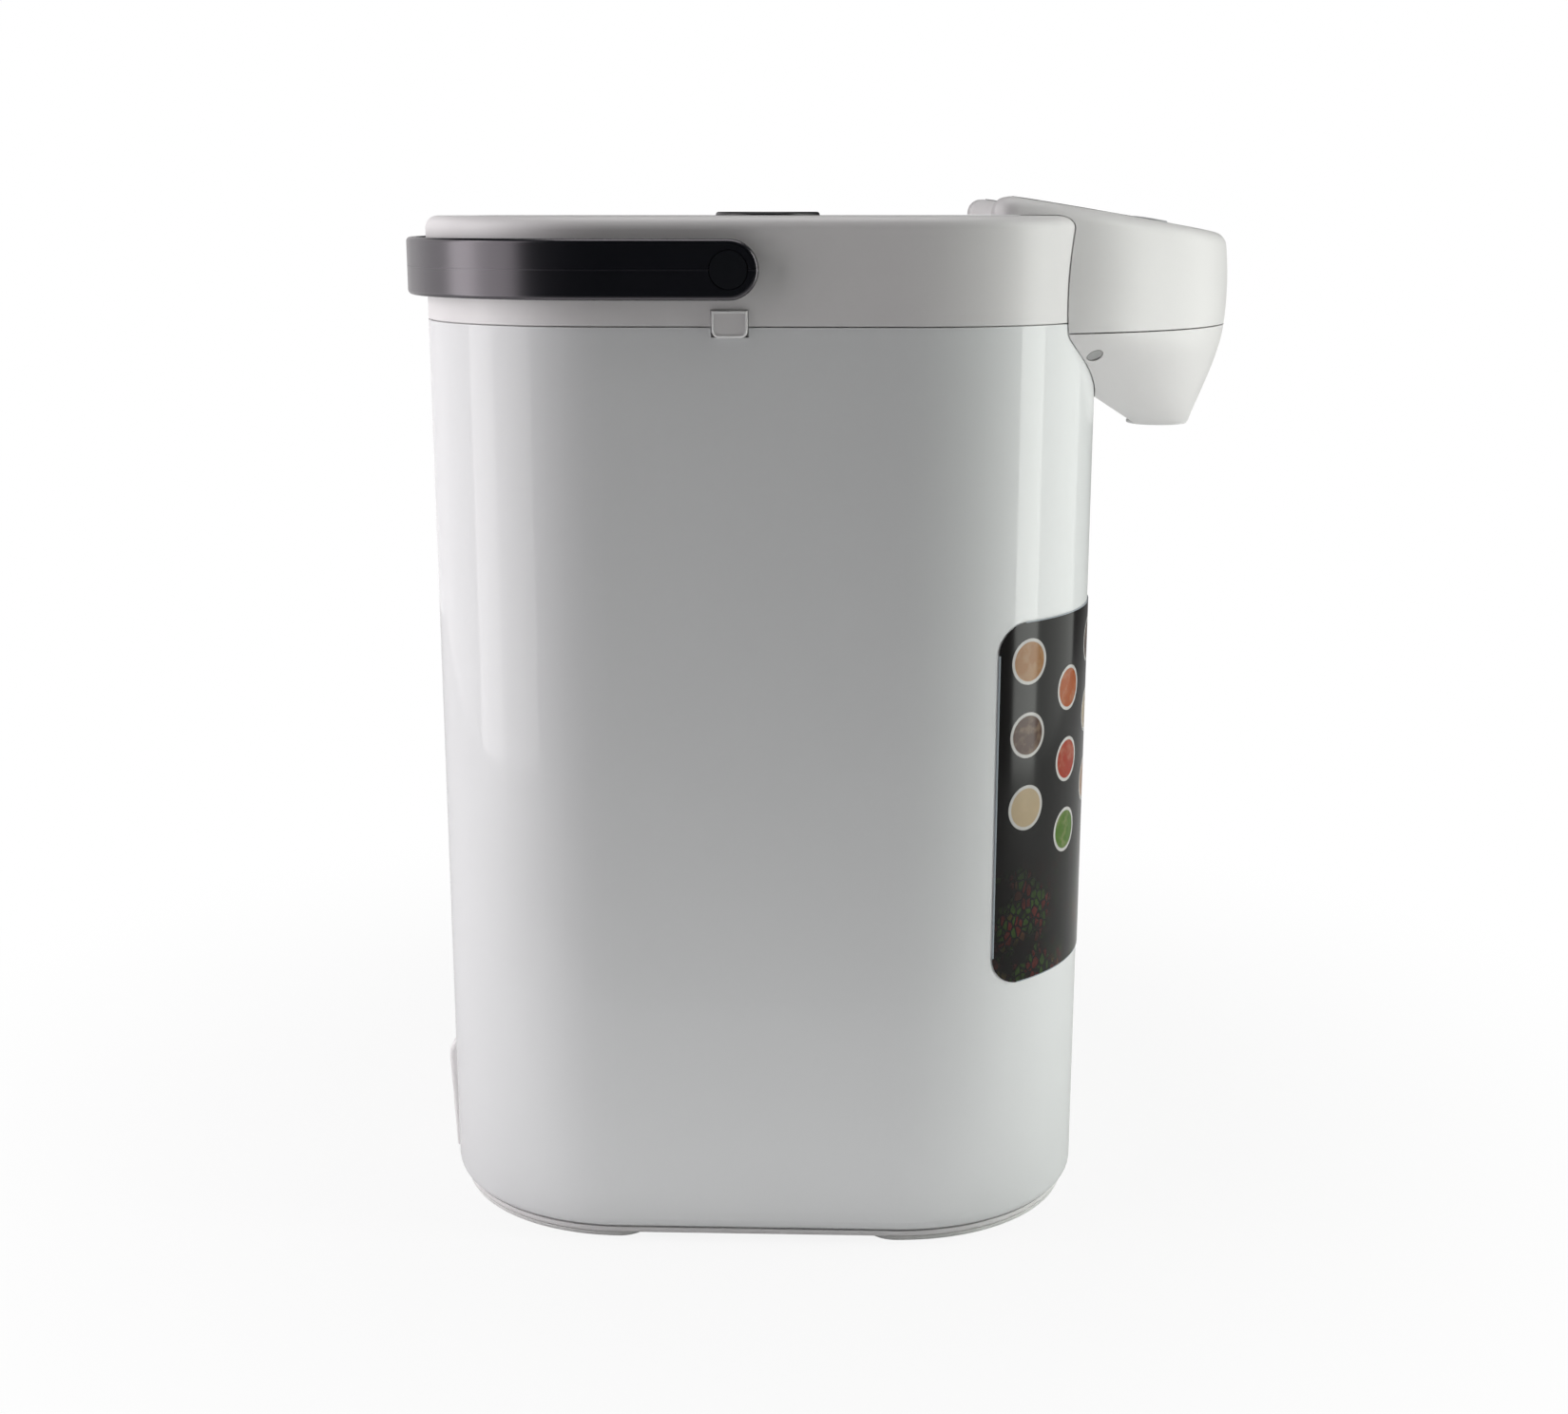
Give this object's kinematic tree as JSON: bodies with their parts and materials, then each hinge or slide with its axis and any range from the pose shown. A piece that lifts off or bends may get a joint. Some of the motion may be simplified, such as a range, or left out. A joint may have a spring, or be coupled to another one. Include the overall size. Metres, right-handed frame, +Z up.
{
  "type": "electric thermo pot",
  "caption": "Electric thermo pot that boils, keeps warm and dispenses water by motor pump or lid knob, with hinged lid, level window and swinging carry handle.",
  "frame": {"origin": "on the standing plane, below the middle of the pot's body and mouth", "axes": "+Z up; the spout looks along -Y; +X is to the right of someone who faces the spout's back, left is -X"},
  "size_m": [0.2304, 0.2731, 0.3381],
  "materials": {
    "casing_paint": "gloss white enamel",
    "white_plastic": "satin white moulding",
    "grey_plastic": "moulded grey",
    "black_plastic": "fine matt moulding",
    "dark_panel": "gloss",
    "key_plastic": "satin keys",
    "lens_plastic": "tinted lens",
    "label_film": "gloss printed film",
    "window_plastic": "clear tinted window",
    "tube_plastic": "clear water tube",
    "pot_steel": "brushed stainless steel",
    "bright_steel": "bright steel",
    "brass_pins": "brass",
    "motor_metal": "plated steel can",
    "silicone": "translucent silicone",
    "foot_rubber": "soft grey rubber",
    "insulation": "glass-fibre felt",
    "board_resin": "green circuit board",
    "heater_metal": "cast aluminium"
  },
  "bodies": {
    "pot_body": {"outer_casing": "casing_paint", "base_plate": "white_plastic", "foot_front_left": "foot_rubber", "foot_front_right": "foot_rubber", "foot_rear_left": "foot_rubber", "foot_rear_right": "foot_rubber", "base_screws": "bright_steel", "collar": "white_plastic", "collar_clip_left": "white_plastic", "collar_clip_right": "white_plastic", "inner_pot": "pot_steel", "insulation_jacket": "insulation", "heater_disc": "heater_metal", "thermostat_boil": "grey_plastic", "thermostat_dry": "grey_plastic", "pump_motor": "motor_metal", "pump_housing": "grey_plastic", "pump_inlet_hose": "silicone", "pump_outlet_hose": "silicone", "gauge_tube": "tube_plastic", "outlet_pipe": "silicone", "riser_sleeve": "silicone", "level_window": "window_plastic", "front_label_left": "label_film", "front_label_right": "label_film", "head_shell": "white_plastic", "control_panel": "dark_panel", "indicator_lenses": "lens_plastic", "control_board": "board_resin", "spout_housing": "white_plastic", "screw_plug_left": "grey_plastic", "screw_plug_right": "grey_plastic", "nozzle": "white_plastic", "inlet_housing": "white_plastic", "power_inlet": "black_plastic", "inlet_pins": "brass_pins", "power_board": "board_resin", "lid_hinge_pin": "bright_steel", "handle_pin_left": "black_plastic", "handle_pin_right": "black_plastic"},
    "pump_rotor": {"pump_impeller": "grey_plastic", "pump_shaft": "bright_steel"},
    "lid": {"lid_outer": "white_plastic", "lid_inner": "pot_steel", "lid_seal": "silicone", "check_valve": "silicone", "pump_bellows": "silicone", "pump_spring": "bright_steel"},
    "latch_slider": {"lid_latch": "grey_plastic"},
    "knob": {"pump_knob": "black_plastic"},
    "carry_handle": {"handle": "black_plastic"},
    "unlock_key": {"button_unlock": "key_plastic"},
    "dispense_key": {"button_dispense": "key_plastic"},
    "boil_key": {"button_boil": "key_plastic"}
  },
  "joints": [
    {"name": "lid_hinge", "type": "hinge", "parent": "pot_body", "child": "lid", "pos_m": [0, 0.0965, 0.3276], "axis": [-1, 0, 0], "range_deg": [0, 75]},
    {"name": "latch_slide", "type": "slide", "parent": "lid", "child": "latch_slider", "axis": [0, 1, 0], "range_m": [0, 0.004], "stiffness_N_per_m": 500, "springref_m": -0.002},
    {"name": "pump_press", "type": "slide", "parent": "lid", "child": "knob", "axis": [0, 0, -1], "range_m": [0, 0.012], "stiffness_N_per_m": 400, "springref_m": -0.003, "deforming": ["pump_bellows", "pump_spring"]},
    {"name": "handle_swing", "type": "hinge", "parent": "pot_body", "child": "carry_handle", "pos_m": [0, 0.007, 0.3166], "axis": [1, 0, 0], "range_deg": [0, 150]},
    {"name": "unlock_press", "type": "slide", "parent": "pot_body", "child": "unlock_key", "axis": [0, 0.1521, -0.9884], "range_m": [0, 0.001], "stiffness_N_per_m": 600, "springref_m": -0.001},
    {"name": "dispense_press", "type": "slide", "parent": "pot_body", "child": "dispense_key", "axis": [0, 0.1521, -0.9884], "range_m": [0, 0.001], "stiffness_N_per_m": 600, "springref_m": -0.001},
    {"name": "boil_press", "type": "slide", "parent": "pot_body", "child": "boil_key", "axis": [0, 0.1521, -0.9884], "range_m": [0, 0.001], "stiffness_N_per_m": 600, "springref_m": -0.001},
    {"name": "pump_spin", "type": "hinge", "parent": "pot_body", "child": "pump_rotor", "pos_m": [0, -0.066, 0.036], "axis": [0, 0, 1], "continuous": true}
  ]
}
